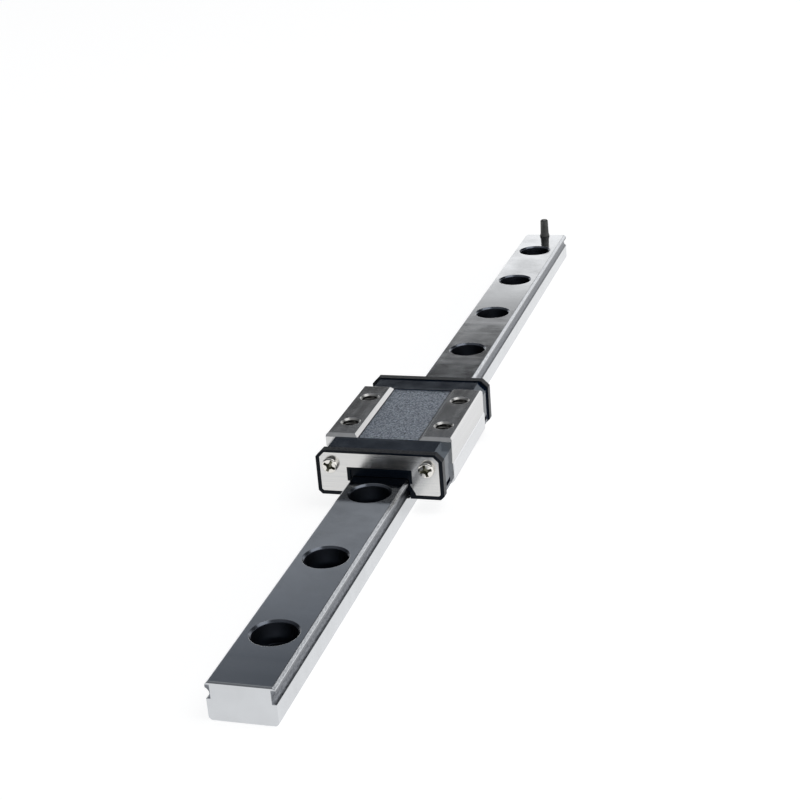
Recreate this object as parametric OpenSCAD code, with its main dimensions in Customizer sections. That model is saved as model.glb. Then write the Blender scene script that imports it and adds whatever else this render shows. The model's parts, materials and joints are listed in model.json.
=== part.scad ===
// Miniature linear guide: a short ball carriage on its profile rail.
// The rail lies along X, its underside is at z = 0 and its middle is the origin.
// "Front" is the -X end, "rear" the +X end, "left" is +Y and "right" is -Y.

/* [Rail] */
// Width of the rail
rail_w = 9; // [9:0.1:9.4]
// Height of the rail
rail_h = 5.5; // [5.4:0.1:5.6]
// Number of screw holes in the rail
rail_holes = 9; // [7:1:20]
// Distance between neighbouring rail holes
rail_pitch = 20; // [20:5:40]
// Distance from the last hole at either end to the rail's end
rail_end_dist = 12; // [7.5:0.5:12.5]
// Diameter of the rail's through holes
rail_hole_d = 3.5; // [3.2:0.1:3.8]
// Diameter of the rail's counterbores
counterbore_d = 6; // [5.5:0.1:6.4]
// Depth of the rail's counterbores
counterbore_depth = 3.3; // [2.5:0.1:3.6]
// Height of the ball groove's centre above the rail's underside
groove_z = 3.9; // [3.8:0.05:4]

/* [Carriage] */
// Where the carriage's middle stands along the rail
carriage_x = -19.5; // [-40:0.5:40]
// Width of the carriage across its ground sides
carriage_w = 20; // [20:0.5:24]
// Height of the carriage's top faces above the rail's underside
carriage_h = 10; // [10:0.1:11]
// Length of the steel block
block_len = 20; // [19.8:0.1:20.2]
// Height of the steel block's underside
block_z = 2.4; // [2.2:0.05:2.5]
// Width of the shallow recess along the top
recess_w = 10.8; // [9:0.1:11]
// Depth of that recess, and the width of each of its sloping walls
recess_depth = 0.55; // [0.2:0.05:0.6]

/* [Fixing threads] */
// Distance between the tapped holes along the rail
thread_pitch_x = 10; // [8:0.5:11]
// Distance between the tapped holes across the rail
thread_pitch_y = 15; // [14:0.5:15]
// Major diameter of the tapped holes
thread_d = 3; // [2.5:0.1:3]
// Depth of full thread
thread_depth = 3; // [2:0.1:3]

/* [End units] */
// Thickness of the inner plate between block and end cap
inner_plate_t = 0.8; // [0.7:0.05:1]
// Thickness of the end cap
end_cap_t = 3.3; // [3.2:0.1:3.8]
// Thickness of the end seal, with its raised rim
end_seal_t = 1.3; // [1.1:0.1:1.6]
// Thickness of the stainless cover plate
cover_t = 0.45; // [0.3:0.05:0.5]
// Width of the notch in the cover plate
notch_w = 10.1; // [10:0.1:11]
// Height of the notch in the cover plate
notch_z = 7.05; // [6.6:0.05:7.2]
// Sideways place of the end screws
end_screw_y = 7.5; // [7.4:0.05:7.6]
// Height of the end screws
end_screw_z = 7.45; // [7.2:0.05:7.5]

/* [Balls] */
// Diameter of a ball
ball_d = 1.588; // [1.5:0.001:1.6]
// Distance between neighbouring balls on the straights
ball_pitch = 1.62; // [1.61:0.005:1.63]
// Sideways place of the loaded rows
load_y = 4.8; // [4.75:0.01:4.85]
// Sideways place of the return bores
return_y = 8.05; // [8.05:0.05:8.1]

/* [Stop pin] */
// Diameter of the stop pin at the rail's rear end
pin_d = 1.8; // [1.7:0.1:2.1]
// Height of the stop pin above the rail
pin_h = 3.7; // [3.5:0.1:4.5]
// Distance from the stop pin's axis to the rail's end
pin_inset = 1.1; // [1.1:0.1:2]

/* [Hidden] */
$fn = 64;

front = -1;
rear = 1;
left = 1;
right = -1;
eps = 0.5;                    // how far a cutter runs past a face
seam = 0.01;                  // how far two joined cutters overlap

// rail
rail_len = (rail_holes - 1) * rail_pitch + 2 * rail_end_dist;
rail_edge = 0.4;              // top edge chamfer
rail_foot = 0.5;              // bottom edge chamfer
rail_end_chamfer = 0.2;
groove_r = 0.82;
hole_chamfer = 0.3;

// stop pin
pin_x = rail_len / 2 - pin_inset;
pin_shank_r = 0.7;
pin_shank_len = 3;
pin_hole_slack = 0.02;
pin_foot = 0.15;              // how far the foot stands out, and its height
pin_foot_rise = 0.5;          // height of the slope from foot to post
pin_taper = 0.08;
pin_crown = 0.2;              // chamfer round the top

// block
block_end = block_len / 2;
edge = 0.3;                   // chamfer on the block's long ground edges
end_edge = 0.5;               // chamfer over the block's ends
corner = 0.1;                 // the same at its upright corners
step_z = 6;                   // below this height the sides are not ground
side_step = 0.15;             // and stand out by this much
side_foot = 0.8;              // chamfer under the sides
channel_w = 10.1;             // between the block's inner walls
channel_z = 6;                // roof of the block's channel
channel_chamfer = 0.7;
race_lead_in = 0.3;
return_r = 0.9;
thread_mouth = 0.05;          // chamfer at the mouth of each tapped hole
drill_tip = 0.8;
end_thread_r = 0.8;           // M1.6 in the block's end faces
end_thread_depth = 2.9;

// turnaround of the balls
turn_r = (return_y - load_y) / 2;
turn_y = (return_y + load_y) / 2;
row_balls = 12;
turn_x = row_balls * ball_pitch / 2;
turn_balls = 3;
guide_r = 1.3;
guide_h = 2.3;
guide_slack = 0.02;

// end units, outwards from the block
cap_x = block_end + inner_plate_t;
seal_x = cap_x + end_cap_t;
outer_x = seal_x + end_seal_t;
cap_w = 19.3;
cap_top = 9.55;
cap_bottom = 2.5;
cap_corner = 1.3;
cap_foot = 0.5;
cap_channel_w = 9.6;
cap_channel_z = 5.9;
port_x = 12;                  // middle of the oil port in the cap's side
port_z = 3.9;
port_len = 2.2;
port_h = 0.7;
port_depth = 0.6;
seal_w = 19.8;
seal_top = 9.7;
seal_bottom = 2.4;
seal_corner = 1.1;
seal_foot = 0.6;
lip_gap = 0.06;               // between the wiping lip and the rail
lip_step = 0.3;               // how far the lip stands back from the rim
lip_w = 9.2;                  // window that bares the lip
lip_z = 6.7;
pocket_gap = 0.03;
cover_w = 18.6;
cover_top = 9.35;
cover_bottom = 3;
cover_corner = 0.8;
cover_foot = 0.25;
tooth_z = 4.85;               // the cover plate's tooth beside the groove
tooth_y = 4.7;
tooth_foot_y = 5.45;
tooth_h = 0.25;               // height of the tooth's flat flanks

// end screws
screw_shank_r = 0.75;
screw_hole_r = 0.85;
screw_len = 8;
screw_head_r = 1.22;
screw_head_h = 0.9;
screw_head_round = 0.5;
recess_size = 1.4;
recess_slot = 0.34;
recess_h = 0.5;

// ball retainer wires
wire_r = 0.18;
wire_z = 2.86;
wire_hole_r = 0.23;
wire_half_len = 12.5;
wire_bend_r = 0.6;
wire_leg = 1;

// ------------------------------------------------------------- helpers

// A closed outline from the points of its +Y half, given from top to bottom
function both_sides(half) =
    concat(half, [for (i = [len(half) - 1:-1:0]) [-half[i][0], half[i][1]]]);

// A rectangle, centred in its first direction, with chamfered top and bottom corners
function chamfered(w, bottom, top, top_corner, foot) = both_sides([
    [w / 2 - top_corner, top], [w / 2, top - top_corner],
    [w / 2, bottom + foot], [w / 2 - foot, bottom]
]);

// Carries an outline in Y and Z along X, from x0 over a length
module along_x(x0, length) {
    translate([x0, 0, 0]) rotate([90, 0, 90]) linear_extrude(length) children();
}

// A cylinder along X
module rod_x(r, x0, x1, y, z) {
    translate([x0, y, z]) rotate([0, 90, 0]) cylinder(r = r, h = x1 - x0);
}

// Moves a piece drawn for the rear end of a centred carriage to either end
module at_end(end) {
    translate([carriage_x, 0, 0]) mirror([end == front ? 1 : 0, 0, 0]) children();
}

// Moves a piece drawn for the left side to either side
module at_side(side) {
    mirror([0, side == right ? 1 : 0, 0]) children();
}

// Draws a piece on the left and again on the right
module on_both_sides() {
    for (side = [left, right]) at_side(side) children();
}

// ---------------------------------------------------------------- rail

module rail_outline() {
    polygon(both_sides([
        [rail_w / 2 - rail_edge, rail_h], [rail_w / 2, rail_h - rail_edge],
        [rail_w / 2, rail_foot], [rail_w / 2 - rail_foot, 0]
    ]));
}

module rail_screw_hole() {
    translate([0, 0, -eps]) cylinder(d = rail_hole_d, h = rail_h + 2 * eps);
    translate([0, 0, rail_h - counterbore_depth])
        cylinder(d = counterbore_d, h = counterbore_depth + eps);
    translate([0, 0, rail_h - hole_chamfer])
        cylinder(r1 = counterbore_d / 2, r2 = counterbore_d / 2 + 2 * hole_chamfer, h = 2 * hole_chamfer);
}

module rail() {
    color("silver") difference() {
        intersection() {
            along_x(-rail_len / 2, rail_len) rail_outline();
            translate([0, rail_w, 0]) rotate([90, 0, 0]) linear_extrude(2 * rail_w)
                polygon(chamfered(rail_len, 0, rail_h, rail_end_chamfer, rail_end_chamfer));
        }
        on_both_sides() rod_x(groove_r, -rail_len / 2 - eps, rail_len / 2 + eps, load_y, groove_z);
        for (i = [0:rail_holes - 1])
            translate([(i - (rail_holes - 1) / 2) * rail_pitch, 0, 0]) rail_screw_hole();
        translate([pin_x, 0, rail_h - pin_shank_len - pin_hole_slack])
            cylinder(r = pin_shank_r + pin_hole_slack, h = pin_shank_len + eps);
    }
}

// A turned pin: a shank in the rail, a small foot and a slightly tapered post
module stop_pin() {
    r = pin_d / 2;
    color([0.1, 0.11, 0.12]) translate([pin_x, 0, rail_h]) rotate_extrude() polygon([
        [0, -pin_shank_len], [pin_shank_r, -pin_shank_len], [pin_shank_r, 0],
        [r + pin_foot, 0], [r + pin_foot, pin_foot], [r, pin_foot + pin_foot_rise],
        [r - pin_taper, pin_h - pin_crown], [r - pin_taper - pin_crown, pin_h], [0, pin_h]
    ]);
}

// --------------------------------------------------------------- block

module block_outline() {
    w = carriage_w / 2;
    polygon(both_sides([
        [w - edge, carriage_h],
        [w, carriage_h - edge],
        [w, step_z],
        [w + side_step, step_z - side_step],
        [w + side_step, block_z + side_foot],
        [w + side_step - side_foot, block_z],
        [channel_w / 2, block_z],
        [channel_w / 2, channel_z - channel_chamfer],
        [channel_w / 2 - channel_chamfer, channel_z]
    ]));
}

// The recess with its sloping walls, which go on past the top face
module recess_outline() {
    half = recess_w / 2;
    translate([0, carriage_h]) polygon(both_sides([
        [half + recess_depth, recess_depth], [half - recess_depth, -recess_depth]
    ]));
}

// Tapped hole with a chamfered mouth and a drill point, its mouth at z = 0
module tapped_hole() {
    r = thread_d / 2;
    translate([0, 0, -thread_depth]) cylinder(r = r, h = thread_depth + eps);
    translate([0, 0, -thread_depth - drill_tip]) cylinder(r1 = 0, r2 = r, h = drill_tip);
    translate([0, 0, -thread_mouth])
        cylinder(r1 = r, r2 = r + 2 * thread_mouth, h = 2 * thread_mouth);
}

module raceway() {
    rod_x(groove_r, -block_end - eps, block_end + eps, load_y, groove_z);
    for (end = [front, rear]) mirror([end == front ? 1 : 0, 0, 0])
        translate([block_end - race_lead_in, load_y, groove_z]) rotate([0, 90, 0])
            cylinder(r1 = groove_r, r2 = groove_r + 2 * race_lead_in, h = 2 * race_lead_in);
}

module block() {
    half_w = carriage_w / 2 + side_step;
    color([0.75, 0.74, 0.72]) translate([carriage_x, 0, 0]) difference() {
        intersection() {
            along_x(-block_end, block_len) block_outline();
            linear_extrude(carriage_h + eps)
                polygon(chamfered(block_len, -half_w, half_w, corner, corner));
            translate([0, carriage_w, 0]) rotate([90, 0, 0]) linear_extrude(2 * carriage_w)
                polygon(chamfered(block_len, block_z, carriage_h, end_edge, edge));
        }
        along_x(-block_end - eps, block_len + 2 * eps) recess_outline();
        on_both_sides() raceway();
        on_both_sides() rod_x(return_r, -block_end - eps, block_end + eps, return_y, groove_z);
        for (x = [-0.5, 0.5], y = [-0.5, 0.5])
            translate([x * thread_pitch_x, y * thread_pitch_y, carriage_h]) tapped_hole();
        on_both_sides() {
            rod_x(end_thread_r, block_end - end_thread_depth, block_end + eps, end_screw_y, end_screw_z);
            rod_x(end_thread_r, -block_end - eps, end_thread_depth - block_end, end_screw_y, end_screw_z);
        }
    }
}

// ------------------------------------------------------- ball turnaround

// The half ring that the balls roll round in, about the turn's centre
module turn_channel() {
    translate([turn_x, turn_y, groove_z]) rotate([0, 0, -90])
        rotate_extrude(angle = 180) translate([turn_r, 0]) circle(r = return_r);
}

// Straight stubs that join the half ring to the rows
module turn_mouths() {
    for (y = [load_y, return_y]) rod_x(return_r, turn_x - eps, turn_x + seam, y, groove_z);
}

// The half spool inside the turn, and with slack its pocket
module turn_spool(slack) {
    intersection() {
        translate([turn_x, turn_y, groove_z])
            cylinder(r = guide_r + slack, h = guide_h + 2 * slack, center = true);
        translate([block_end - (slack > 0 ? eps : 0), 0, 0]) cube([2 * guide_r, carriage_w, carriage_h]);
    }
}

module turn_guide(end, side) {
    color([0.2, 0.22, 0.25]) at_end(end) at_side(side) difference() {
        turn_spool(0);
        turn_channel();
    }
}

module turn_guide_front_left() {
    turn_guide(front, left);
}

module turn_guide_front_right() {
    turn_guide(front, right);
}

module turn_guide_rear_left() {
    turn_guide(rear, left);
}

module turn_guide_rear_right() {
    turn_guide(rear, right);
}

// ------------------------------------------------------------ end units

// A retainer wire for the left side: it runs below the loaded balls and hooks into the caps
module wire_path(r) {
    x = wire_half_len;
    rod_x(r, -x, x, load_y, wire_z);
    for (end = [front, rear]) mirror([end == front ? 1 : 0, 0, 0]) {
        translate([x, load_y + wire_bend_r, wire_z]) rotate([0, 0, -90])
            rotate_extrude(angle = 90) translate([wire_bend_r, 0]) circle(r = r, $fn = 32);
        translate([x + wire_bend_r, load_y + wire_bend_r, wire_z])
            rotate([-90, 0, 0]) cylinder(r = r, h = wire_leg);
    }
}

// Everything that runs through the plastic of an end unit, for the left side
module end_passages() {
    turn_channel();
    turn_mouths();
    turn_spool(guide_slack);
    wire_path(wire_hole_r);
    rod_x(screw_hole_r, block_end - eps, outer_x + eps, end_screw_y, end_screw_z);
}

// The way through for the rail
module rail_way(x0, length, w, top) {
    translate([x0, -w / 2, -eps]) cube([length, w, top + eps]);
}

module inner_plate(end) {
    color([0.13, 0.14, 0.16]) at_end(end) difference() {
        along_x(block_end, inner_plate_t)
            polygon(chamfered(cap_w, cap_bottom, cap_top, cap_corner, cap_foot));
        rail_way(block_end - eps, inner_plate_t + 2 * eps, cap_channel_w, cap_channel_z);
        on_both_sides() end_passages();
    }
}

module inner_plate_front() {
    inner_plate(front);
}

module inner_plate_rear() {
    inner_plate(rear);
}

module end_cap(end) {
    color([0.16, 0.18, 0.22]) at_end(end) difference() {
        along_x(cap_x, end_cap_t)
            polygon(chamfered(cap_w, cap_bottom, cap_top, cap_corner, cap_foot));
        rail_way(cap_x - eps, end_cap_t + 2 * eps, cap_channel_w, cap_channel_z);
        on_both_sides() end_passages();
        on_both_sides() translate([port_x - port_len / 2, cap_w / 2 - port_depth, port_z - port_h / 2])
            cube([port_len, port_depth + eps, port_h]);
    }
}

module end_cap_front() {
    end_cap(front);
}

module end_cap_rear() {
    end_cap(rear);
}

// The opening of the wiping lip: the rail's outline let out by the gap, less a nose in each groove
module lip_opening() {
    w = rail_w / 2 + lip_gap;
    difference() {
        polygon(both_sides([
            [w - rail_edge, rail_h + lip_gap], [w, rail_h + lip_gap - rail_edge],
            [w, seal_bottom - eps]
        ]));
        for (side = [left, right])
            translate([side * load_y, groove_z]) circle(r = groove_r - lip_gap);
    }
}

module cover_outline(gap) {
    difference() {
        polygon(chamfered(
            cover_w + 2 * gap, cover_bottom - gap, cover_top + gap, cover_corner, cover_foot));
        polygon(both_sides([
            [notch_w / 2 - gap, notch_z - gap], [notch_w / 2 - gap, tooth_z + gap],
            [tooth_y - gap, tooth_z + gap], [tooth_y - gap, tooth_z - tooth_h],
            [tooth_foot_y - gap, cover_bottom + tooth_h], [tooth_foot_y - gap, cover_bottom - eps]
        ]));
    }
}

module end_seal(end) {
    color([0.05, 0.05, 0.06]) at_end(end) difference() {
        along_x(seal_x, end_seal_t)
            polygon(chamfered(seal_w, seal_bottom, seal_top, seal_corner, seal_foot));
        along_x(seal_x - eps, end_seal_t + 2 * eps) lip_opening();
        along_x(outer_x - cover_t, cover_t + eps) cover_outline(pocket_gap);
        rail_way(outer_x - lip_step, lip_step + eps, lip_w, lip_z);
        on_both_sides() rod_x(screw_hole_r, seal_x - eps, outer_x + eps, end_screw_y, end_screw_z);
    }
}

module end_seal_front() {
    end_seal(front);
}

module end_seal_rear() {
    end_seal(rear);
}

module cover_plate(end) {
    color([0.7, 0.71, 0.72]) at_end(end) difference() {
        along_x(outer_x - cover_t, cover_t) cover_outline(0);
        on_both_sides() rod_x(screw_hole_r, seal_x, outer_x + eps, end_screw_y, end_screw_z);
    }
}

module cover_plate_front() {
    cover_plate(front);
}

module cover_plate_rear() {
    cover_plate(rear);
}

// A pan-head screw with a cross recess, along X
module end_screw(end, side) {
    color([0.8, 0.8, 0.8]) at_end(end) at_side(side)
        translate([outer_x, end_screw_y, end_screw_z]) rotate([0, 90, 0]) difference() {
            union() {
                translate([0, 0, -screw_len]) cylinder(r = screw_shank_r, h = screw_len);
                rotate_extrude() polygon(concat(
                    [[0, 0], [screw_head_r, 0]],
                    [for (a = [0:15:90]) [
                        screw_head_r - screw_head_round * (1 - cos(a)),
                        screw_head_h - screw_head_round * (1 - sin(a))
                    ]],
                    [[0, screw_head_h]]
                ));
            }
            for (turn = [0, 90]) rotate([0, 0, turn])
                translate([-recess_size / 2, -recess_slot / 2, screw_head_h - recess_h])
                    cube([recess_size, recess_slot, recess_h + eps]);
        }
}

module end_screw_front_left() {
    end_screw(front, left);
}

module end_screw_front_right() {
    end_screw(front, right);
}

module end_screw_rear_left() {
    end_screw(rear, left);
}

module end_screw_rear_right() {
    end_screw(rear, right);
}

module retainer_wire(side) {
    color([0.7, 0.7, 0.7]) translate([carriage_x, 0, 0]) at_side(side) wire_path(wire_r);
}

module retainer_wire_left() {
    retainer_wire(left);
}

module retainer_wire_right() {
    retainer_wire(right);
}

// ---------------------------------------------------------------- balls

module ball_row(side, y) {
    color([0.85, 0.85, 0.86]) translate([carriage_x, 0, 0]) at_side(side)
        for (i = [0:row_balls - 1])
            translate([(i - (row_balls - 1) / 2) * ball_pitch, y, groove_z]) sphere(d = ball_d);
}

module ball_turn(end, side) {
    color([0.85, 0.85, 0.86]) at_end(end) at_side(side)
        translate([turn_x, turn_y, groove_z]) for (i = [0:turn_balls - 1])
            rotate([0, 0, (i + 0.5) * 180 / turn_balls - 90]) translate([turn_r, 0, 0]) sphere(d = ball_d);
}

module load_balls_left() {
    ball_row(left, load_y);
}

module load_balls_right() {
    ball_row(right, load_y);
}

module return_balls_left() {
    ball_row(left, return_y);
}

module return_balls_right() {
    ball_row(right, return_y);
}

module turn_balls_front_left() {
    ball_turn(front, left);
}

module turn_balls_front_right() {
    ball_turn(front, right);
}

module turn_balls_rear_left() {
    ball_turn(rear, left);
}

module turn_balls_rear_right() {
    ball_turn(rear, right);
}

rail();
stop_pin();
block();
inner_plate_front();
inner_plate_rear();
end_cap_front();
end_cap_rear();
turn_guide_front_left();
turn_guide_front_right();
turn_guide_rear_left();
turn_guide_rear_right();
end_seal_front();
end_seal_rear();
cover_plate_front();
cover_plate_rear();
end_screw_front_left();
end_screw_front_right();
end_screw_rear_left();
end_screw_rear_right();
retainer_wire_left();
retainer_wire_right();
load_balls_left();
load_balls_right();
return_balls_left();
return_balls_right();
turn_balls_front_left();
turn_balls_front_right();
turn_balls_rear_left();
turn_balls_rear_right();
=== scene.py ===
"""The looks of a miniature linear guide: a ball carriage on its profile rail.

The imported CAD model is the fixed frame. The CAD nodes keep their shapes and get fine
edges and materials; the screws and the threads are built here in full detail.
The object's sizes are in millimetres and are turned into metres with MM. The room round
it is in metres.
"""

import json
import math

import bmesh
import bpy
from mathutils import Matrix, Quaternion, Vector


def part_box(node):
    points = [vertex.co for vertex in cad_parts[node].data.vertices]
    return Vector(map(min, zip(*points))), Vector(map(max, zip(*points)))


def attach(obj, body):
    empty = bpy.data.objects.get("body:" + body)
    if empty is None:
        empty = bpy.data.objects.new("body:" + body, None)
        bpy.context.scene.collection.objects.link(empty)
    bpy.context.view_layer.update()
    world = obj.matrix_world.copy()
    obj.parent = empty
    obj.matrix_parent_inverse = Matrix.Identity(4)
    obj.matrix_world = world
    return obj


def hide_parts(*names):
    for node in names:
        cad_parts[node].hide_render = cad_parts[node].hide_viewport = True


MM = 0.001

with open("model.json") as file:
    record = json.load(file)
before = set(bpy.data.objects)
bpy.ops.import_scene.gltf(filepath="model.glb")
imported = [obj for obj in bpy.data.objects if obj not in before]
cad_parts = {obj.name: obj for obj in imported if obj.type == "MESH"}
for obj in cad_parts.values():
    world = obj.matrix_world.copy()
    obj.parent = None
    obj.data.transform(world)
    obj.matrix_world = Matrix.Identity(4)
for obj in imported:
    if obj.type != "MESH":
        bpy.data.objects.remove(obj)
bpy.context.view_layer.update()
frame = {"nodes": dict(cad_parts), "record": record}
nodes = frame["nodes"]
scene = bpy.context.scene

carriage_low, carriage_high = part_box("block")
carriage_x = (carriage_low.x + carriage_high.x) / 2
carriage_top = carriage_high.z
rail_low, rail_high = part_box("rail")


# ---------------------------------------------------------------- shader helpers

class Look:
    """A material with a Principled shader, and short calls for the nodes that feed it.

    Coordinates are the object's own, in millimetres, so a pattern rides with its piece.
    """

    def __init__(self, name, color, metallic=0.0, roughness=0.5, **sockets):
        self.material = bpy.data.materials.new(name)
        self.material.use_nodes = True
        self.tree = self.material.node_tree
        self.shader = self.tree.nodes["Principled BSDF"]
        self.set("Base Color", (*color, 1))
        self.set("Metallic", metallic)
        self.set("Roughness", roughness)
        for socket, value in sockets.items():
            self.set(socket.replace("_", " "), value)
        coordinates = self.add("ShaderNodeTexCoord").outputs["Object"]
        self.place = self.vector("SCALE", coordinates, scale=1 / MM)
        self.separate = self.add("ShaderNodeSeparateXYZ")
        self.join(self.place, self.separate.inputs[0])
        self.bumps = None

    def set(self, socket, value):
        self.shader.inputs[socket].default_value = value

    def add(self, kind, **settings):
        node = self.tree.nodes.new(kind)
        for key, value in settings.items():
            setattr(node, key, value)
        return node

    def join(self, value, socket):
        """Links an output into a socket, or sets a plain value on it."""
        if isinstance(value, bpy.types.NodeSocket):
            self.tree.links.new(value, socket)
        else:
            socket.default_value = value

    def vector(self, operation, a, b=None, scale=None):
        node = self.add("ShaderNodeVectorMath", operation=operation)
        self.join(a, node.inputs[0])
        if b is not None:
            self.join(b, node.inputs[1])
        if scale is not None:
            node.inputs["Scale"].default_value = scale
        return node.outputs[0]

    def math(self, operation, a, b=0.0):
        node = self.add("ShaderNodeMath", operation=operation)
        self.join(a, node.inputs[0])
        self.join(b, node.inputs[1])
        return node.outputs[0]

    def sum(self, a, b):
        return self.math("ADD", a, b)

    def product(self, *values):
        result = values[0]
        for value in values[1:]:
            result = self.math("MULTIPLY", result, value)
        return result

    def axis(self, letter):
        """The X, Y or Z place in millimetres."""
        return self.separate.outputs["XYZ".index(letter)]

    def off_axis(self, letter):
        """The distance from the middle plane of that axis, in millimetres."""
        return self.math("ABSOLUTE", self.axis(letter))

    def combine(self, value):
        """The same number in all three places of a vector."""
        node = self.add("ShaderNodeCombineXYZ")
        for socket in node.inputs:
            self.join(value, socket)
        return node.outputs[0]

    def ramp(self, value, low, high, to_low=0.0, to_high=1.0):
        """Maps low..high to to_low..to_high, and holds the ends beyond them."""
        node = self.add("ShaderNodeMapRange", clamp=True)
        numbers = {"From Min": low, "From Max": high, "To Min": to_low, "To Max": to_high}
        for key, number in numbers.items():
            node.inputs[key].default_value = number
        self.join(value, node.inputs["Value"])
        return node.outputs[0]

    def above(self, value, edge, soft=0.02):
        """1 where value is over the edge, fading out over soft on either side of it."""
        return self.ramp(value, edge - soft, edge + soft)

    def below(self, value, edge, soft=0.02):
        """1 where value is under the edge, fading out over soft on either side of it."""
        return self.ramp(value, edge - soft, edge + soft, 1.0, 0.0)

    def within(self, value, low, high, soft=0.02):
        """1 where value lies between low and high."""
        return self.product(self.above(value, low, soft), self.below(value, high, soft))

    def noise(self, per_mm, detail=2.0, roughness=0.5, stretch=(1, 1, 1), seed=0.0):
        """Noise from 0 to 1 with per_mm blotches in a millimetre; stretch draws it out per axis."""
        squeeze = tuple(1 / s for s in stretch)
        place = self.vector("MULTIPLY", self.place, squeeze)
        place = self.vector("ADD", place, (seed, 1.7 * seed, 0.6 * seed))
        node = self.add("ShaderNodeTexNoise")
        node.inputs["Scale"].default_value = per_mm
        node.inputs["Detail"].default_value = detail
        node.inputs["Roughness"].default_value = roughness
        self.join(place, node.inputs["Vector"])
        return node.outputs["Fac"]

    def spread(self, noise, to_low, to_high, low=0.3, high=0.7):
        """A number that wanders between to_low and to_high with a noise."""
        return self.ramp(noise, low, high, to_low, to_high)

    def mottle(self, noise, a, b, low=0.3, high=0.7):
        """A colour that wanders between a and b with a noise."""
        return self.mix(self.ramp(noise, low, high), a, b)

    def mix(self, factor, a, b):
        """A number or colour that goes from a to b as factor goes from 0 to 1."""
        def has_color(value):
            return isinstance(value, tuple) or getattr(value, "type", "") in ("RGBA", "VECTOR")

        kind = "RGBA" if has_color(a) or has_color(b) else "FLOAT"
        ending = {"RGBA": "Color", "FLOAT": "Float"}[kind]
        node = self.add("ShaderNodeMix", data_type=kind)
        for key, value in (("Factor_Float", factor), ("A_" + ending, a), ("B_" + ending, b)):
            socket = next(s for s in node.inputs if s.identifier == key)
            self.join((*value, 1) if isinstance(value, tuple) else value, socket)
        return next(s for s in node.outputs if s.identifier == "Result_" + ending)

    def color(self, value):
        self.join(value, self.shader.inputs["Base Color"])

    def rough(self, value):
        self.join(value, self.shader.inputs["Roughness"])

    def bump(self, height, depth):
        """Adds relief of that depth, in millimetres, on top of any relief there is."""
        node = self.add("ShaderNodeBump")
        node.inputs["Strength"].default_value = 1.0
        node.inputs["Distance"].default_value = depth * MM
        self.join(height, node.inputs["Height"])
        if self.bumps is not None:
            self.join(self.bumps, node.inputs["Normal"])
        self.bumps = node.outputs["Normal"]
        self.join(self.bumps, self.shader.inputs["Normal"])


# ------------------------------------------------------------------- rail finish

RAIL_END, RAIL_SIDE, RAIL_TOP = (value / MM for value in rail_high)
HOLE_REACH, MOUTH_REACH = 3.12, 3.4
HOLE_SHADE_TOP = RAIL_TOP - 0.27
MOUTH_LOW, MOUTH_HIGH = RAIL_TOP - 0.4, RAIL_TOP - 0.012
GROOVE_IN, GROOVE_LOW, GROOVE_HIGH = RAIL_SIDE - 0.6, RAIL_TOP - 2.36, RAIL_TOP - 0.42
EDGE_IN, EDGE_LOW, EDGE_HIGH = RAIL_SIDE - 0.37, RAIL_TOP - 0.36, RAIL_TOP - 0.045


def rail_areas(look):
    """Masks for the screw holes, their chamfered mouths, the side grooves and top edges."""
    along, across, z = look.off_axis("X"), look.off_axis("Y"), look.axis("Z")
    hole = look.product(look.below(across, HOLE_REACH), look.within(z, 0.06, HOLE_SHADE_TOP),
                        look.below(along, RAIL_END - 0.1))
    mouth = look.product(look.below(across, MOUTH_REACH),
                         look.within(z, MOUTH_LOW, MOUTH_HIGH, 0.01),
                         look.below(along, RAIL_END - 0.3))
    groove = look.product(look.above(across, GROOVE_IN), look.above(z, GROOVE_LOW, 0.06),
                          look.below(z, GROOVE_HIGH, 0.08))
    edge = look.product(look.above(across, EDGE_IN), look.above(z, EDGE_LOW),
                        look.below(z, EDGE_HIGH, 0.015))
    return hole, mouth, groove, edge


def rail_look():
    """Ground rail steel: faint cross-grinding and smudges, and drawn grooves; the grooves, the
    screw holes and their mouths are darkened with painted shade.
    """
    steel = (0.595, 0.61, 0.63)
    look = Look("rail_ground_steel", steel, 1.0)
    grind = look.noise(7, 3, 0.6, stretch=(1, 40, 40))
    chatter = look.noise(0.55, 2, 0.5, stretch=(1, 60, 60), seed=3)
    smudge = look.noise(0.16, 4, 0.6, seed=8)
    drawn = look.noise(5, 3, 0.65, stretch=(3, 1, 1), seed=6)
    hole, mouth, groove, edge = rail_areas(look)

    tone = look.sum(look.spread(chatter, 0.97, 1.02), look.spread(smudge, 0.02, -0.06, 0.35, 0.75))
    surface = look.vector("MULTIPLY", steel, look.combine(tone))
    surface = look.mix(edge, surface, look.mottle(drawn, (0.37, 0.385, 0.41), (0.7, 0.72, 0.75)))
    # Painted shade: the side grooves get a far darker steel colour in place of their dark
    # reflections.
    groove_shade_steel = look.mottle(drawn, (0.085, 0.092, 0.106), (0.25, 0.262, 0.285))
    surface = look.mix(groove, surface, groove_shade_steel)
    # Painted shade: the chamfered hole mouths are coloured dark blue-grey.
    surface = look.mix(mouth, surface, (0.125, 0.138, 0.162))
    # Painted shade: the insides of the screw holes are coloured near black.
    look.color(look.mix(hole, surface, (0.07, 0.08, 0.1)))

    satin = look.sum(look.spread(chatter, 0.08, 0.11), look.spread(smudge, 0.0, 0.06, 0.4, 0.7))
    satin = look.mix(groove, satin, look.spread(drawn, 0.28, 0.42))
    satin = look.mix(edge, satin, 0.26)
    satin = look.mix(mouth, satin, 0.23)
    look.rough(look.mix(hole, satin, 0.38))
    look.bump(grind, 0.0006)
    look.bump(look.product(drawn, look.sum(groove, edge)), 0.012)
    return look.material


# ------------------------------------------------------------------ block finish

RECESS_FLOOR = carriage_top / MM - 0.55
RECESS_REACH, RECESS_CORNER = 4.83, 4.65
SIDE_STEP = 5.95


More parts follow.
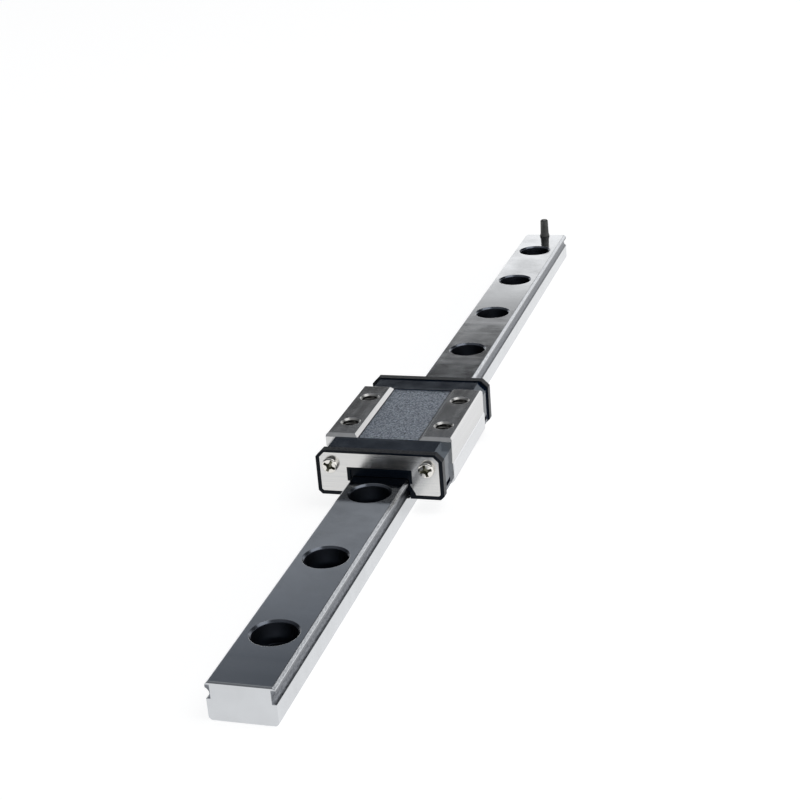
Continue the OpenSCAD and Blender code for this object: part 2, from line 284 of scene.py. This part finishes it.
def block_look():
    """Hardened block: ground lands and sides, and a blasted grey recess along the top, with painted
    shade along the recess walls.
    """
    look = Look("block_steel", (0.6, 0.6, 0.6), 1.0)
    grind = look.noise(6, 3, 0.6, stretch=(40, 1, 1), seed=11)
    streak = look.noise(1.1, 2, 0.5, stretch=(25, 1, 1), seed=5)
    cloud = look.noise(0.25, 3, 0.55, seed=14)
    grain = look.noise(4.0, 3, 0.7, seed=2)
    fine = look.noise(11, 3, 0.6, seed=7)
    coarse = look.noise(0.8, 3, 0.6, seed=9)
    across, z = look.off_axis("Y"), look.axis("Z")
    recess = look.product(look.below(across, RECESS_REACH),
                          look.within(z, RECESS_FLOOR - 0.15, RECESS_FLOOR + 0.17, 0.01))
    lower_side = look.below(z, SIDE_STEP, 0.05)
    # Painted shade: the recess floor is darkened to near black along its walls.
    recess_wall_shade = look.product(look.above(across, RECESS_CORNER, 0.05), 0.9)

    ground = look.mottle(streak, (0.575, 0.575, 0.575), (0.62, 0.622, 0.625))
    ground = look.mix(look.product(lower_side, 0.7), ground, (0.66, 0.675, 0.7))
    blasted = look.mottle(grain, (0.07, 0.085, 0.11), (0.5, 0.565, 0.66), 0.39, 0.63)
    blasted = look.mix(look.spread(coarse, 0, 0.3, 0.35, 0.75), blasted, (0.2, 0.228, 0.268))
    blasted = look.mix(recess_wall_shade, blasted, (0.03, 0.033, 0.04))
    look.color(look.mix(recess, ground, blasted))

    satin = look.sum(look.spread(streak, 0.09, 0.12), look.spread(cloud, -0.01, 0.03, 0.35, 0.7))
    look.rough(look.mix(recess, satin, look.spread(fine, 0.36, 0.5)))
    look.bump(look.product(grind, look.math("SUBTRACT", 1.0, recess)), 0.0007)
    look.bump(look.product(grain, recess), 0.05)
    look.bump(look.product(fine, recess), 0.012)
    return look.material


# --------------------------------------------------------------- other materials

def plastic_look(name, color, roughness, depth, seed):
    """Moulded plastic with a fine spark-eroded grain and slight changes in its sheen."""
    look = Look(name, color, IOR=1.5, Specular_Tint=(0.55, 0.8, 1.0, 1.0))
    grain = look.noise(11, 3, 0.6, seed=seed)
    cloud = look.noise(0.35, 3, 0.6, seed=seed + 4)
    light = tuple(1.35 * c for c in color)
    dark = tuple(0.8 * c for c in color)
    look.color(look.mottle(cloud, dark, light))
    sheen = look.spread(grain, roughness - 0.04, roughness + 0.05)
    look.rough(look.sum(sheen, look.spread(cloud, -0.04, 0.04)))
    look.bump(grain, depth)
    return look.material


def rubber_look():
    """Black seal rubber, matt, with a faint bloom."""
    look = Look("seal_rubber", (0.004, 0.006, 0.01), Specular_IOR_Level=0.1)
    grain = look.noise(9, 4, 0.7, seed=21)
    bloom = look.noise(0.5, 3, 0.6, seed=25)
    look.color(look.mottle(bloom, (0.002, 0.0045, 0.009), (0.005, 0.008, 0.014), 0.45, 0.8))
    look.rough(look.spread(grain, 0.22, 0.34))
    look.bump(grain, 0.0025)
    return look.material


def cover_look():
    """Rolled stainless sheet: satin, with a faint grain across its width."""
    look = Look("cover_stainless", (0.62, 0.62, 0.61), 1.0)
    rolled = look.noise(7, 3, 0.6, stretch=(1, 50, 1), seed=31)
    cloud = look.noise(0.3, 2, 0.5, seed=33)
    look.color(look.mottle(rolled, (0.6, 0.6, 0.6), (0.68, 0.675, 0.66)))
    look.rough(look.sum(look.spread(rolled, 0.16, 0.22), look.spread(cloud, -0.02, 0.04)))
    look.bump(rolled, 0.0005)
    return look.material


def bright_look(name, color, roughness, seed):
    """Bright metal with faint handling marks."""
    look = Look(name, color, 1.0)
    marks = look.noise(5, 4, 0.65, seed=seed)
    tint = tuple(0.9 * c for c in color)
    look.color(look.mottle(marks, tint, color, 0.35, 0.7))
    look.rough(look.spread(marks, roughness - 0.03, roughness + 0.08, 0.3, 0.75))
    look.bump(marks, 0.001)
    return look.material


def recess_look():
    """The dull inside of a driver recess, coloured dark olive: painted shade, with some grime."""
    look = Look("screw_recess", (0.16, 0.155, 0.13), 1.0)
    grime_and_shade = look.noise(8, 3, 0.6, seed=41)
    look.color(look.mottle(grime_and_shade, (0.1, 0.098, 0.075), (0.36, 0.36, 0.28)))
    look.rough(look.spread(grime_and_shade, 0.35, 0.55))
    return look.material


def pin_look():
    """Black-oxide pin with fine turning rings."""
    look = Look("pin_black", (0.028, 0.03, 0.03), IOR=1.55)
    rings = look.noise(6, 2, 0.5, stretch=(30, 30, 1), seed=51)
    cloud = look.noise(1.2, 3, 0.6, seed=52)
    look.color(look.mottle(cloud, (0.018, 0.019, 0.019), (0.045, 0.047, 0.045), 0.35, 0.7))
    look.rough(look.spread(rings, 0.3, 0.42))
    look.bump(rings, 0.008)
    return look.material


BLUE_BLACK = (0.0012, 0.0052, 0.0155)

MATERIALS = {
    "rail_steel": rail_look(),
    "block_steel": block_look(),
    "black_pin": pin_look(),
    "cap_plastic": plastic_look("cap_plastic", BLUE_BLACK, 0.12, 0.001, 61),
    "inner_plastic": plastic_look("inner_plastic", BLUE_BLACK, 0.14, 0.0012, 65),
    "guide_plastic": plastic_look("guide_plastic", (0.05, 0.055, 0.06), 0.4, 0.005, 69),
    "seal_rubber": rubber_look(),
    "cover_steel": cover_look(),
    "screw_nickel": bright_look("screw_nickel", (0.8, 0.78, 0.74), 0.13, 71),
    "wire_steel": bright_look("wire_steel", (0.62, 0.62, 0.62), 0.2, 73),
    "ball_steel": bright_look("ball_steel", (0.72, 0.72, 0.73), 0.06, 75),
}
RECESS = recess_look()
# Painted shade: the threads inside the tapped holes are coloured dark steel.
SHADED_THREAD_STEEL = bright_look("thread_steel_shaded", (0.3, 0.295, 0.285), 0.3, 81)
MOUTH_STEEL = bright_look("thread_mouth_steel", (0.5, 0.495, 0.48), 0.3, 83)


# ---------------------------------------------------- CAD nodes: edges and finish

WELD_DISTANCE = 0.0005
FLAT_DEGREES, SHARP_DEGREES = 0.4, 28
EDGE_SEGMENTS = 3

# The radius of each node's edges, by the start of the node's name.
EDGES = {
    "rail": 0.05, "block": 0.05, "stop_pin": 0.08, "inner_plate": 0.03, "end_cap": 0.05,
    "turn_guide": 0.04, "end_seal": 0.1, "cover_plate": 0.06,
}


def weld_group():
    """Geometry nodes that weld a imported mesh's split points and shade it smooth."""
    group = bpy.data.node_groups.new("weld_and_smooth", "GeometryNodeTree")
    group.interface.new_socket("Geometry", in_out="INPUT", socket_type="NodeSocketGeometry")
    group.interface.new_socket("Geometry", in_out="OUTPUT", socket_type="NodeSocketGeometry")
    start = group.nodes.new("NodeGroupInput")
    drop = group.nodes.new("GeometryNodeRemoveAttribute")
    drop.inputs["Name"].default_value = "custom_normal"
    weld = group.nodes.new("GeometryNodeMergeByDistance")
    weld.inputs["Distance"].default_value = WELD_DISTANCE * MM
    shade = group.nodes.new("GeometryNodeSetShadeSmooth")
    end = group.nodes.new("NodeGroupOutput")
    chain = [start, drop, weld, shade, end]
    for a, b in zip(chain, chain[1:]):
        group.links.new(a.outputs[0], b.inputs[0])
    return group


def fine_edges(obj, width, weld):
    """Rounds an object's sharp edges by a small radius, through modifiers only."""
    obj.modifiers.new("weld", "NODES").node_group = weld
    flat = obj.modifiers.new("flat", "DECIMATE")
    flat.decimate_type = "DISSOLVE"
    flat.angle_limit = math.radians(FLAT_DEGREES)
    bevel = obj.modifiers.new("edges", "BEVEL")
    bevel.width = width * MM
    bevel.segments = EDGE_SEGMENTS
    bevel.limit_method = "ANGLE"
    bevel.angle_limit = math.radians(SHARP_DEGREES)
    bevel.use_clamp_overlap = True
    bevel.harden_normals = True
    bevel.miter_outer = "MITER_ARC"


def finish_cad_nodes():
    """Gives every CAD node its slot's material and, where EDGES names it, fine edges."""
    slot_of = {row["node"]: row["material_slot"] for row in frame["record"]["subparts"]}
    weld = weld_group()
    for name, obj in nodes.items():
        obj.data.materials.clear()
        obj.data.materials.append(MATERIALS[slot_of[name]])
        for start, width in EDGES.items():
            if name.startswith(start):
                fine_edges(obj, width, weld)


# ------------------------------------------------------------------- mesh helpers

def new_object(name, mesh, *materials):
    obj = bpy.data.objects.new(name, mesh)
    scene.collection.objects.link(obj)
    for material in materials:
        mesh.materials.append(material)
    return obj


def mesh_from(name, points, faces):
    mesh = bpy.data.meshes.new(name)
    mesh.from_pydata([tuple(p) for p in points], [], faces)
    mesh.validate()
    return mesh


def on_circle(radius, height, step, steps):
    """A point at that radius and height, step of steps of a whole turn round from X."""
    angle = 2 * math.pi * step / steps
    return Vector((radius * math.cos(angle), radius * math.sin(angle), height))


def turned(profile, sides):
    """Points and faces of a closed solid turned about Z from (radius, height) points.

    The first and last points are on the axis.
    """
    points = [Vector((0, 0, profile[0][1])), Vector((0, 0, profile[-1][1]))]
    rings = profile[1:-1]
    for radius, height in rings:
        points += [on_circle(radius, height, i, sides) for i in range(sides)]
    faces = []
    last = 2 + (len(rings) - 1) * sides
    for i in range(sides):
        j = (i + 1) % sides
        faces.append((0, 2 + j, 2 + i))
        faces.append((1, last + i, last + j))
        for ring in range(len(rings) - 1):
            a = 2 + ring * sides
            faces.append((a + i, a + j, a + sides + j, a + sides + i))
    return points, faces


def cut(obj, *cutters):
    """Takes the cutters away from obj one by one and keeps the result as obj's own mesh."""
    for cutter in cutters:
        boolean = obj.modifiers.new(cutter.name, "BOOLEAN")
        boolean.operation = "DIFFERENCE"
        boolean.solver = "EXACT"
        boolean.material_mode = "TRANSFER"
        boolean.object = cutter
    graph = bpy.context.evaluated_depsgraph_get()
    result = bpy.data.meshes.new_from_object(obj.evaluated_get(graph))
    obj.modifiers.clear()
    obj.data = result
    for cutter in cutters:
        bpy.data.objects.remove(cutter)


def smooth(obj, degrees):
    """Smooth shading with edges kept where faces meet at more than this angle."""
    obj.data.shade_smooth()
    limit = math.radians(degrees)
    b = bmesh.new()
    b.from_mesh(obj.data)
    for edge in b.edges:
        if len(edge.link_faces) == 2 and edge.calc_face_angle(0) > limit:
            edge.smooth = False
    b.to_mesh(obj.data)
    b.free()


# ------------------------------------------------------------------ end screws

HEAD_R, HEAD_H, HEAD_ROUND, HEAD_FOOT = 1.22, 0.9, 0.3, 0.06
DOME_START, DOME_STEPS, DOME_WIDTH = 12, 10, 1.2
CROWN_R, CROWN_RISE = 0.5, 0.012
SHANK_CREST, SHANK_ROOT, SHANK_PITCH, SHANK_LEN = 0.78, 0.62, 0.35, 8.0
TIP_TAPER, TIP_PLAIN, NECK_PLAIN = 0.15, 0.2, 0.4
NECK_LOW, NECK_HIGH = -0.3, -0.1

# The driver recess: the core's half outline, and each wing's height, reach and half width.
CUT_TOP = HEAD_H + 0.2
CORE_PROFILE = ((0, HEAD_H - 0.8), (0.3, HEAD_H - 0.7), (0.55, CUT_TOP), (0, CUT_TOP))
WING_SECTIONS = ((HEAD_H - 0.72, 0.5, 0.13), (CUT_TOP, 1.16, 0.25))

# How far each screw is turned, in degrees.
SCREW_TURNS = {
    "end_screw_front_left": 64, "end_screw_front_right": 15,
    "end_screw_rear_left": 40, "end_screw_rear_right": 67,
}


def shank_outline():
    """Half outline of a threaded shank, from its tip up to the seat of the head at 0."""
    outline = [(0, -SHANK_LEN), (SHANK_ROOT - TIP_TAPER, -SHANK_LEN)]
    for i in range(int((SHANK_LEN - TIP_PLAIN - NECK_PLAIN) / SHANK_PITCH)):
        low = TIP_PLAIN - SHANK_LEN + i * SHANK_PITCH
        outline.append((SHANK_ROOT, low))
        outline += [(SHANK_CREST, low + rise * SHANK_PITCH) for rise in (0.45, 0.55)]
    return outline + [(SHANK_ROOT, NECK_LOW), (SHANK_CREST, NECK_HIGH), (SHANK_CREST, 0)]


def head_outline():
    """Half outline of a pan head that stands on height 0."""
    outline = [(HEAD_R - HEAD_FOOT, 0), (HEAD_R, HEAD_FOOT)]
    for i in range(DOME_STEPS + 1):
        angle = math.radians(DOME_START + (90 - DOME_START) * i / DOME_STEPS)
        inset = HEAD_ROUND * DOME_WIDTH * (1 - math.cos(angle))
        drop = HEAD_FOOT + HEAD_ROUND * (1 - math.sin(angle))
        outline.append((HEAD_R - inset, HEAD_H - drop))
    return outline + [(CROWN_R, HEAD_H - CROWN_RISE), (0, HEAD_H)]


def recess_cutters():
    """Tapered punches for a cross recess: a round core and two wings."""
    core = mesh_from("recess_core", *turned(CORE_PROFILE, 24))
    cutters = [new_object("recess_core", core, RECESS)]
    faces = [(3, 2, 1, 0), (4, 5, 6, 7), (0, 1, 5, 4), (1, 2, 6, 5), (2, 3, 7, 6), (3, 0, 4, 7)]
    for turn in (0, 90):
        spin = Quaternion((0, 0, 1), math.radians(turn))
        corners = []
        for height, reach, half in WING_SECTIONS:
            for sx, sy in ((-1, -1), (1, -1), (1, 1), (-1, 1)):
                corners.append(spin @ Vector((sx * reach, sy * half, height)))
        name = f"recess_wing_{turn}"
        cutters.append(new_object(name, mesh_from(name, corners, faces), RECESS))
    return cutters


def end_screw(name, spin):
    """Builds one screw in place of the CAD screw, its driver recess turned by spin degrees."""
    low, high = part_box(name)
    toward = 1 if high.x > carriage_high.x else -1
    points, faces = turned(shank_outline() + head_outline(), 56)
    screw = new_object(name + "_detail", mesh_from(name, points, faces), MATERIALS["screw_nickel"])
    cut(screw, *recess_cutters())
    smooth(screw, 32)
    seat_x = (high.x if toward > 0 else low.x) - toward * HEAD_H * MM
    turn = Vector((0, 0, 1)).rotation_difference(Vector((toward, 0, 0)))
    turn = turn @ Quaternion((0, 0, 1), math.radians(spin))
    screw.data.transform(turn.to_matrix().to_4x4() @ Matrix.Scale(MM, 4))
    screw.location = (seat_x, (low.y + high.y) / 2, (low.z + high.z) / 2)
    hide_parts(name)
    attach(screw, "carriage")


# ---------------------------------------------------------------- tapped threads

THREAD_R, THREAD_CORE_R, THREAD_PITCH = 1.5, 1.24, 0.5
THREAD_START, THREAD_END = 2.95, 0.55
THREAD_BASE, THREAD_CREST = 0.44 * THREAD_PITCH, 0.07 * THREAD_PITCH
THREAD_STEPS, FADE_TURNS = 40, 0.4
MOUTH_TOP, MOUTH_DEPTH, MOUTH_LAND, MOUTH_FOOT = 0.045, 0.3, 0.38, 0.5
MOUTH_SIDES = 64


def add_ridge(points, faces):
    """Adds the helical ridge, from its deep end upwards, fading out at both ends."""
    steps = int((THREAD_START - THREAD_END) / THREAD_PITCH * THREAD_STEPS)
    fade = FADE_TURNS * THREAD_STEPS
    wall = THREAD_R + 0.01
    for i in range(steps + 1):
        grow = max(0.02, min(1.0, i / fade, (steps - i) / fade))
        inner = THREAD_R - grow * (THREAD_R - THREAD_CORE_R)
        middle = THREAD_PITCH * i / THREAD_STEPS - THREAD_START
        for radius, rise in ((wall, -THREAD_BASE), (inner, -THREAD_CREST),
                             (inner, THREAD_CREST), (wall, THREAD_BASE)):
            points.append(on_circle(radius, middle + rise, i, THREAD_STEPS) * MM)
    for i in range(steps):
        for j in range(4):
            a, b = 4 * i + j, 4 * i + (j + 1) % 4
            faces.append((a, b, b + 4, a + 4))
    faces += [(3, 2, 1, 0), tuple(4 * steps + j for j in range(4))]


def add_mouth(points, faces):
    """Adds the countersunk ring over the thread's first turn."""
    first = len(points)
    wall = THREAD_R + 0.005
    for i in range(MOUTH_SIDES):
        for radius, height in ((wall, -MOUTH_TOP), (THREAD_CORE_R, -MOUTH_DEPTH),
                               (THREAD_CORE_R, -MOUTH_LAND), (wall, -MOUTH_FOOT)):
            points.append(on_circle(radius, height, i, MOUTH_SIDES) * MM)
    for i in range(MOUTH_SIDES):
        here, after = first + 4 * i, first + 4 * ((i + 1) % MOUTH_SIDES)
        for j in range(4):
            k = (j + 1) % 4
            faces.append((here + j, here + k, after + k, after + j))


def thread_mesh(name):
    """An M3 thread's ridge and, in the second material, its mouth, down from z = 0."""
    points, faces = [], []
    add_ridge(points, faces)
    ridge_faces = len(faces)
    add_mouth(points, faces)
    mesh = mesh_from(name, points, faces)
    for polygon in mesh.polygons[ridge_faces:]:
        polygon.material_index = 1
    b = bmesh.new()
    b.from_mesh(mesh)
    bmesh.ops.recalc_face_normals(b, faces=b.faces)
    b.to_mesh(mesh)
    b.free()
    return mesh


def tapped_threads():
    """A thread in each of the four holes that the record's top_threads mount places."""
    mount = next(m for m in frame["record"]["mounts"] if m["name"] == "top_threads")
    half_x, half_y = (mount["dims"][f"spacing_{axis}_mm"] * MM / 2 for axis in "xy")
    for end, along in (("front", -1), ("rear", 1)):
        for side, across in (("left", 1), ("right", -1)):
            name = f"thread_{end}_{side}"
            thread = new_object(name, thread_mesh(name), SHADED_THREAD_STEEL, MOUTH_STEEL)
            smooth(thread, 40)
            thread.location = (carriage_x + along * half_x, across * half_y, carriage_top)
            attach(thread, "carriage")


# ------------------------------------------------------- floor, light and camera

FLOOR_HALF, FLOOR_GAP, FLOOR_GLOW = 4.0, 0.02, 0.84

# Light by height over the horizon: (elevation in degrees, level, share of blue).
ROOM = ((0, 1.3, 0), (12.5, 1.25, 0), (18, 0.07, 0.04), (34, 0.06, 0.08),
        (58, 0.2, 0.04), (70, 0.4, 0.02))
AHEAD = ((0, 1.4, 0), (18.1, 1.35, 0), (19, 0.1, 0.01), (21, 0.045, 0.01), (23.5, 0.13, 0.03),
         (26.3, 0.36, 0.05), (29, 0.22, 0.08), (32, 0.1, 0.1), (42, 0.1, 0.1), (90, 0.4, 0.02))
ROOM_UP = (0, 0.2, 1)
AHEAD_WAY, AHEAD_RIM, AHEAD_CORE = (0.88, 0.33, 0.35), 0.76, 0.92

LAMP_PLACE, LAMP_SIZE, LAMP_POWER = (-0.04, -0.5, 0.86), 0.75, 2.2

CAMERA_AZIMUTH, CAMERA_ELEVATION, CAMERA_ROLL = -72.08, 22.01, -4.657
CAMERA_FROM_CARRIAGE = (-216.79, -69.32, 103.89)
FOCAL_LENGTH, SENSOR_WIDTH = 70.53, 36


def floor():
    """A plain white table, lit from inside like a light table so that shadows stay faint."""
    corners = [(sx * FLOOR_HALF, sy * FLOOR_HALF, 0)
               for sx, sy in ((-1, -1), (1, -1), (1, 1), (-1, 1))]
    look = Look("floor_white", (0.4, 0.4, 0.4), roughness=0.9)
    look.set("Emission Color", (1, 1, 1, 1))
    look.set("Emission Strength", FLOOR_GLOW)
    look.set("Specular IOR Level", 0.0)
    plane = new_object("floor", mesh_from("floor", corners, [(0, 1, 2, 3)]), look.material)
    plane.location.z = rail_low.z - FLOOR_GAP * MM


class Sky:
    """The world's nodes, which set the light that comes from each direction."""

    def __init__(self):
        scene.world = bpy.data.worlds.new("studio")
        scene.world.use_nodes = True
        self.tree = scene.world.node_tree
        self.direction = self.add("ShaderNodeTexCoord").outputs["Generated"]

    def add(self, kind):
        return self.tree.nodes.new(kind)

    def along(self, way):
        """How far each direction points along a vector."""
        dot = self.add("ShaderNodeVectorMath")
        dot.operation = "DOT_PRODUCT"
        self.tree.links.new(self.direction, dot.inputs[0])
        dot.inputs[1].default_value = way
        return dot.outputs["Value"]

    def levels(self, height, stops):
        """Colour by height, the sine of the elevation, from stops such as ROOM's."""
        ramp = self.add("ShaderNodeValToRGB")
        self.tree.links.new(height, ramp.inputs["Fac"])
        elements = ramp.color_ramp.elements
        while len(elements) < len(stops):
            elements.new(0.5)
        for element, (elevation, level, blue) in zip(elements, stops):
            element.position = math.sin(math.radians(elevation))
            element.color = (level * (1 - blue), level, level * (1 + 1.6 * blue), 1)
        return ramp.outputs["Color"]

    def sector(self, way, rim, core):
        """1 near a direction and 0 away from it, as the cosine to it goes from core to rim."""
        fade = self.add("ShaderNodeMapRange")
        fade.interpolation_type = "SMOOTHSTEP"
        fade.inputs["From Min"].default_value = rim
        fade.inputs["From Max"].default_value = core
        self.tree.links.new(self.along(Vector(way).normalized()), fade.inputs["Value"])
        return fade.outputs[0]

    def mix(self, factor, a):
        """A node that mixes a with its second colour, which is white until it is linked."""
        node = self.add("ShaderNodeMixRGB")
        self.tree.links.new(factor, node.inputs["Fac"])
        self.tree.links.new(a, node.inputs[1])
        node.inputs[2].default_value = (1, 1, 1, 1)
        return node


def studio():
    """A bright backdrop round the horizon, a dim room above it and a soft ceiling.

    Ahead of the camera the light has steps of its own, for the flat steel tops to mirror.
    The camera itself sees plain white all round.
    """
    sky = Sky()
    room = sky.levels(sky.along(ROOM_UP), ROOM)
    ahead = sky.levels(sky.along((0, 0, 1)), AHEAD)
    light = sky.mix(sky.sector(AHEAD_WAY, AHEAD_RIM, AHEAD_CORE), room)
    sky.tree.links.new(ahead, light.inputs[2])
    seen = sky.add("ShaderNodeLightPath").outputs["Is Camera Ray"]
    backdrop = sky.mix(seen, light.outputs[0])
    sky.tree.links.new(backdrop.outputs[0], sky.tree.nodes["Background"].inputs["Color"])


def aim(obj, way, roll=0.0):
    """Turns a lamp or camera so that it looks along a vector."""
    obj.rotation_mode = "QUATERNION"
    obj.rotation_quaternion = way.to_track_quat("-Z", "Y") @ Quaternion((0, 0, 1), roll)


def overhead_lamp():
    """A large round soft lamp, high on the right, aimed at the middle of the rail."""
    data = bpy.data.lights.new("overhead", "AREA")
    data.shape = "DISK"
    data.size = LAMP_SIZE
    data.energy = LAMP_POWER
    lamp = bpy.data.objects.new("overhead", data)
    scene.collection.objects.link(lamp)
    lamp.location = LAMP_PLACE
    aim(lamp, -Vector(LAMP_PLACE))


def camera():
    """The photographer's place, measured from the middle of the carriage."""
    azimuth, elevation = math.radians(CAMERA_AZIMUTH), math.radians(CAMERA_ELEVATION)
    level = math.cos(elevation)
    back = Vector((math.sin(azimuth) * level, -math.cos(azimuth) * level, math.sin(elevation)))
    data = bpy.data.cameras.new("camera")
    data.sensor_width = SENSOR_WIDTH
    data.lens = FOCAL_LENGTH
    data.clip_start = 0.01
    data.clip_end = 20
    eye = bpy.data.objects.new("camera", data)
    scene.collection.objects.link(eye)
    eye.location = Vector((carriage_x, 0, 0)) + Vector(CAMERA_FROM_CARRIAGE) * MM
    aim(eye, -back, math.radians(CAMERA_ROLL))
    scene.camera = eye


# --------------------------------------------------------------- the whole scene

finish_cad_nodes()
for name, spin in SCREW_TURNS.items():
    end_screw(name, spin)
tapped_threads()
floor()
studio()
overhead_lamp()
camera()
scene.view_settings.view_transform = "Standard"
